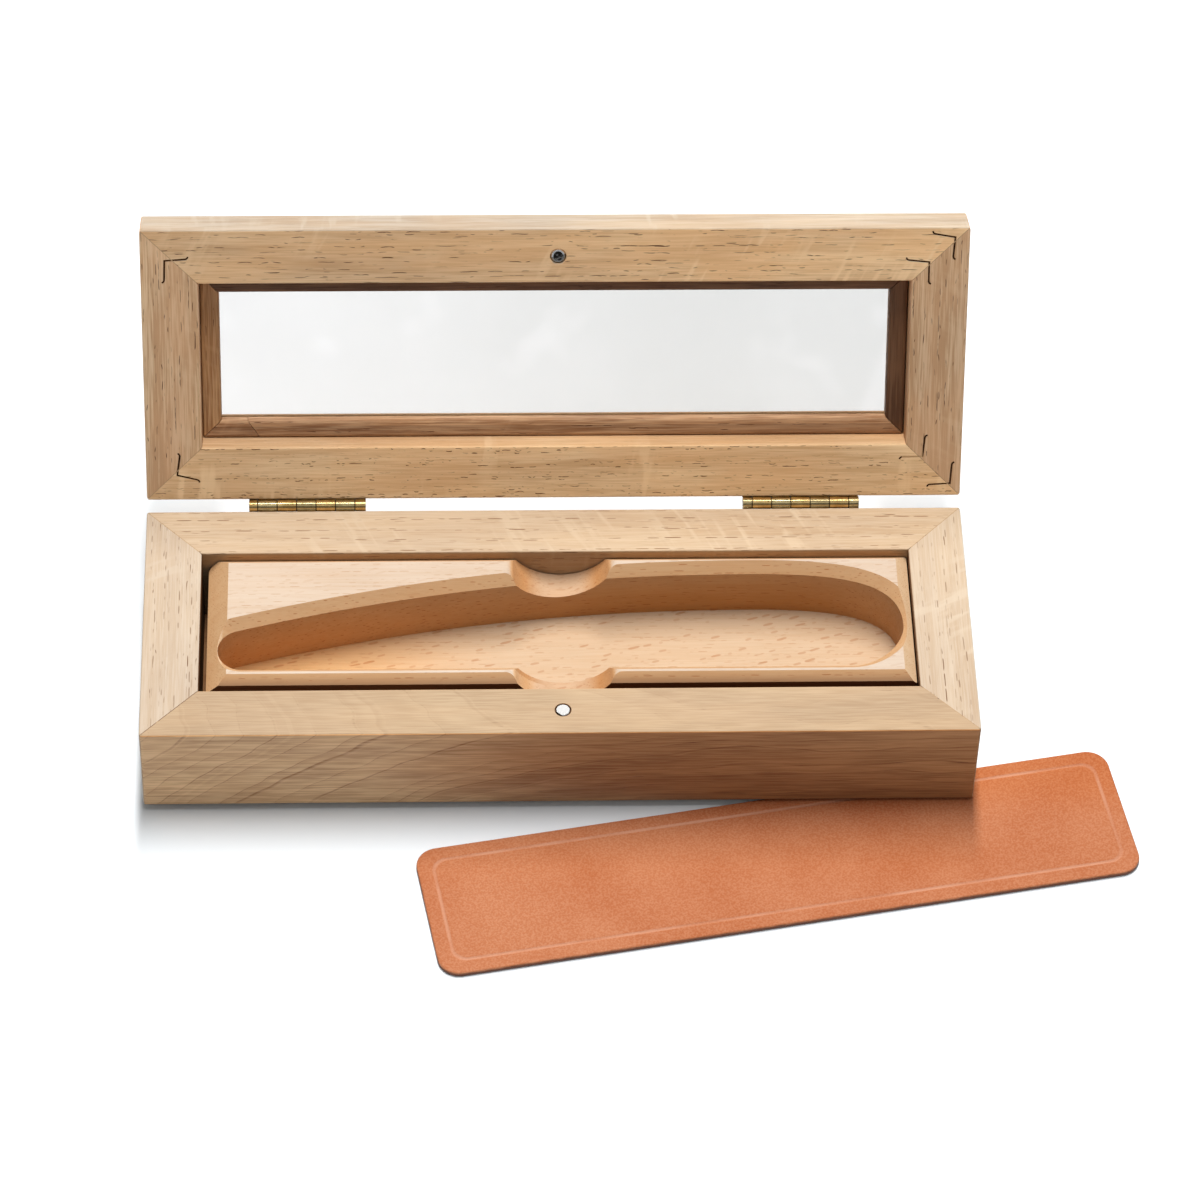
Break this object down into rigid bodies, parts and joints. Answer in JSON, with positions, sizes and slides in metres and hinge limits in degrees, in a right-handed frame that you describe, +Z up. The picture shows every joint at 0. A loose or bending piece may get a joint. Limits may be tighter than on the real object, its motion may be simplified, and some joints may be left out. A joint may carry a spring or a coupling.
{
  "type": "razor display box",
  "caption": "Mitred oak box with a hinged glazed lid, a beech insert shaped to hold a folding razor, and a loose leather panel.",
  "frame": {"origin": "centre of the box's underside, on the bottom panel's lower face; felt pads reach 1.8 mm lower", "axes": "+X to the right seen from the front, +Y towards the hinges, +Z up"},
  "size_m": [0.2507, 0.1708, 0.0983],
  "materials": {
    "oak": "oiled open-pored oak",
    "beech": "plain sanded beech with short flecks",
    "panel_wood": "sanded oak panel",
    "brass": "polished brass",
    "steel": "plain steel",
    "nickel": "nickel plated",
    "glass": "clear pane",
    "felt": "dark felt",
    "leather": "vegetable-tanned, creased edge"
  },
  "bodies": {
    "base": {"base_rail_front": "oak", "base_rail_right": "oak", "base_rail_back": "oak", "base_rail_left": "oak", "bottom_panel": "panel_wood", "felt_pad_front_left": "felt", "felt_pad_front_right": "felt", "felt_pad_rear_left": "felt", "felt_pad_rear_right": "felt", "base_magnet": "nickel", "hinge_left_base_leaf": "brass", "hinge_right_base_leaf": "brass", "hinge_left_pin": "brass", "hinge_right_pin": "brass", "base_leaf_screw_left_1": "steel", "base_leaf_screw_left_2": "steel", "base_leaf_screw_right_1": "steel", "base_leaf_screw_right_2": "steel"},
    "lid": {"lid_rail_front": "oak", "lid_rail_right": "oak", "lid_rail_back": "oak", "lid_rail_left": "oak", "nail_front_right_outer": "steel", "nail_front_right_inner": "steel", "nail_back_right_outer": "steel", "nail_back_right_inner": "steel", "nail_front_left": "steel", "nail_back_left": "steel", "glass_pane": "glass", "bead_front": "oak", "bead_right": "oak", "bead_back_short": "oak", "bead_back_long": "oak", "bead_left": "oak", "lid_magnet": "nickel", "hinge_left_lid_leaf": "brass", "hinge_right_lid_leaf": "brass", "lid_leaf_screw_left_1": "steel", "lid_leaf_screw_left_2": "steel", "lid_leaf_screw_right_1": "steel", "lid_leaf_screw_right_2": "steel"},
    "insert": {"insert": "beech"},
    "leather": {"leather_panel": "leather"}
  },
  "joints": [
    {"name": "lid_hinge", "type": "hinge", "parent": "base", "child": "lid", "pos_m": [0, 0.0387, 0.02815], "axis": [1, 0, 0], "range_deg": [0, 115]},
    {"name": "insert_lift", "type": "slide", "parent": "base", "child": "insert", "axis": [0, 0, 1], "range_m": [0, 0.006]},
    {"name": "leather_slide", "type": "slide", "parent": "base", "child": "leather", "axis": [0, -1, 0], "range_m": [0, 0.06]}
  ]
}
